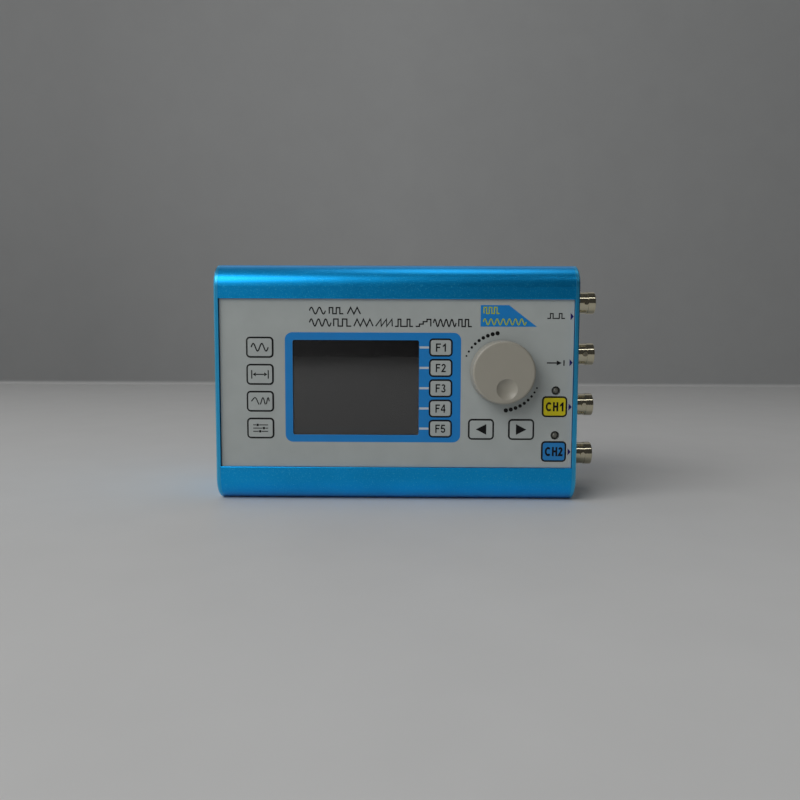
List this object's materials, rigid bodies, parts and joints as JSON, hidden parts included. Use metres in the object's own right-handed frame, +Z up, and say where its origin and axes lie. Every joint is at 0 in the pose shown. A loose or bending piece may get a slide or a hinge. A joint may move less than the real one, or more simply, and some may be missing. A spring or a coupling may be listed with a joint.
{
  "type": "function generator",
  "caption": "Portable signal generator in an extruded aluminium case standing on edge, with membrane keys, a colour display, a push knob and coaxial sockets.",
  "frame": {"origin": "middle of the case's bottom face", "axes": "+X towards the end with the coaxial sockets, +Y from the key panel to the back, +Z up"},
  "size_m": [0.1603, 0.062, 0.095],
  "materials": {
    "blue_anodised": "bead-blasted, blue anodised",
    "screw_steel": "nickel-plated steel",
    "plate_aluminium": "mill finish",
    "membrane_film": "fine satin printed polyester",
    "clear_pane": "clear polished acrylic",
    "lcd_holder": "moulded black",
    "lcd_black": "dark unlit display glass",
    "board_green": "green solder mask",
    "standoff_brass": "turned",
    "switch_black": "moulded black",
    "led_lens": "diffused lens, unlit",
    "key_film": "embossed polyester",
    "key_yellow": "embossed polyester, yellow print",
    "key_blue": "embossed polyester, blue print",
    "plunger_plastic": "moulded",
    "encoder_metal": "zinc-plated",
    "shaft_steel": "turned",
    "knob_plastic": "fine texture",
    "components_black": "moulded packages",
    "tin_plate": "bright tin plate",
    "cable_grey": "flat cable with black plugs",
    "nickel": "bright nickel",
    "insulator_white": "smooth white",
    "gold": "gold plated",
    "jack_black": "moulded black"
  },
  "bodies": {
    "case": {"housing": "blue_anodised", "left_end_plate": "blue_anodised", "right_end_plate": "blue_anodised", "end_plate_screws": "screw_steel", "front_plate": "plate_aluminium", "membrane_overlay": "membrane_film", "display_window": "clear_pane", "lcd_frame": "lcd_holder", "lcd_glass": "lcd_black", "front_board": "board_green", "board_standoffs": "standoff_brass", "board_screws": "screw_steel", "tact_switch_bodies": "switch_black", "channel_leds": "led_lens", "encoder_body": "encoder_metal", "encoder_nut": "encoder_metal", "main_board": "board_green", "board_components": "components_black", "shield_can": "tin_plate", "ribbon_cable": "cable_grey", "bnc_ttl": "nickel", "bnc_ext": "nickel", "bnc_ch1": "nickel", "bnc_ch2": "nickel", "bnc_insulators": "insulator_white", "bnc_contacts": "gold", "bnc_nuts": "nickel", "usb_socket": "tin_plate", "dc_jack": "jack_black", "switch_body": "switch_black"},
    "key_wave": {"key_wave": "key_film", "plunger_wave": "plunger_plastic"},
    "key_measure": {"key_measure": "key_film", "plunger_measure": "plunger_plastic"},
    "key_sweep": {"key_sweep": "key_film", "plunger_sweep": "plunger_plastic"},
    "key_system": {"key_system": "key_film", "plunger_system": "plunger_plastic"},
    "key_f1": {"key_f1": "key_film", "plunger_f1": "plunger_plastic"},
    "key_f2": {"key_f2": "key_film", "plunger_f2": "plunger_plastic"},
    "key_f3": {"key_f3": "key_film", "plunger_f3": "plunger_plastic"},
    "key_f4": {"key_f4": "key_film", "plunger_f4": "plunger_plastic"},
    "key_f5": {"key_f5": "key_film", "plunger_f5": "plunger_plastic"},
    "key_left_arrow": {"key_left_arrow": "key_film", "plunger_left_arrow": "plunger_plastic"},
    "key_right_arrow": {"key_right_arrow": "key_film", "plunger_right_arrow": "plunger_plastic"},
    "key_channel_1": {"key_channel_1": "key_yellow", "plunger_channel_1": "plunger_plastic"},
    "key_channel_2": {"key_channel_2": "key_blue", "plunger_channel_2": "plunger_plastic"},
    "encoder_push": {"encoder_push_pin": "plunger_plastic"},
    "knob_turning": {"knob": "knob_plastic", "encoder_shaft": "shaft_steel"},
    "power_rocker": {"power_rocker": "jack_black"}
  },
  "joints": [
    {"name": "press_wave", "type": "slide", "parent": "case", "child": "key_wave", "axis": [0, 1, 0], "range_m": [0, 0.0003], "stiffness_N_per_m": 2000, "springref_m": -0.0002},
    {"name": "press_measure", "type": "slide", "parent": "case", "child": "key_measure", "axis": [0, 1, 0], "range_m": [0, 0.0003], "stiffness_N_per_m": 2000, "springref_m": -0.0002},
    {"name": "press_sweep", "type": "slide", "parent": "case", "child": "key_sweep", "axis": [0, 1, 0], "range_m": [0, 0.0003], "stiffness_N_per_m": 2000, "springref_m": -0.0002},
    {"name": "press_system", "type": "slide", "parent": "case", "child": "key_system", "axis": [0, 1, 0], "range_m": [0, 0.0003], "stiffness_N_per_m": 2000, "springref_m": -0.0002},
    {"name": "press_f1", "type": "slide", "parent": "case", "child": "key_f1", "axis": [0, 1, 0], "range_m": [0, 0.0003], "stiffness_N_per_m": 2000, "springref_m": -0.0002},
    {"name": "press_f2", "type": "slide", "parent": "case", "child": "key_f2", "axis": [0, 1, 0], "range_m": [0, 0.0003], "stiffness_N_per_m": 2000, "springref_m": -0.0002},
    {"name": "press_f3", "type": "slide", "parent": "case", "child": "key_f3", "axis": [0, 1, 0], "range_m": [0, 0.0003], "stiffness_N_per_m": 2000, "springref_m": -0.0002},
    {"name": "press_f4", "type": "slide", "parent": "case", "child": "key_f4", "axis": [0, 1, 0], "range_m": [0, 0.0003], "stiffness_N_per_m": 2000, "springref_m": -0.0002},
    {"name": "press_f5", "type": "slide", "parent": "case", "child": "key_f5", "axis": [0, 1, 0], "range_m": [0, 0.0003], "stiffness_N_per_m": 2000, "springref_m": -0.0002},
    {"name": "press_left_arrow", "type": "slide", "parent": "case", "child": "key_left_arrow", "axis": [0, 1, 0], "range_m": [0, 0.0003], "stiffness_N_per_m": 2000, "springref_m": -0.0002},
    {"name": "press_right_arrow", "type": "slide", "parent": "case", "child": "key_right_arrow", "axis": [0, 1, 0], "range_m": [0, 0.0003], "stiffness_N_per_m": 2000, "springref_m": -0.0002},
    {"name": "press_channel_1", "type": "slide", "parent": "case", "child": "key_channel_1", "axis": [0, 1, 0], "range_m": [0, 0.0003], "stiffness_N_per_m": 2000, "springref_m": -0.0002},
    {"name": "press_channel_2", "type": "slide", "parent": "case", "child": "key_channel_2", "axis": [0, 1, 0], "range_m": [0, 0.0003], "stiffness_N_per_m": 2000, "springref_m": -0.0002},
    {"name": "knob_push", "type": "slide", "parent": "case", "child": "encoder_push", "axis": [0, 1, 0], "range_m": [0, 0.0005], "stiffness_N_per_m": 4000, "springref_m": -0.0003},
    {"name": "knob_turn", "type": "hinge", "parent": "encoder_push", "child": "knob_turning", "pos_m": [0.0421, -0.0305, 0.0524], "axis": [0, 1, 0], "continuous": true},
    {"name": "power_rocker_tilt", "type": "hinge", "parent": "case", "child": "power_rocker", "pos_m": [-0.0719, 0, 0.074], "axis": [0, -1, 0], "range_deg": [0, 22]}
  ]
}
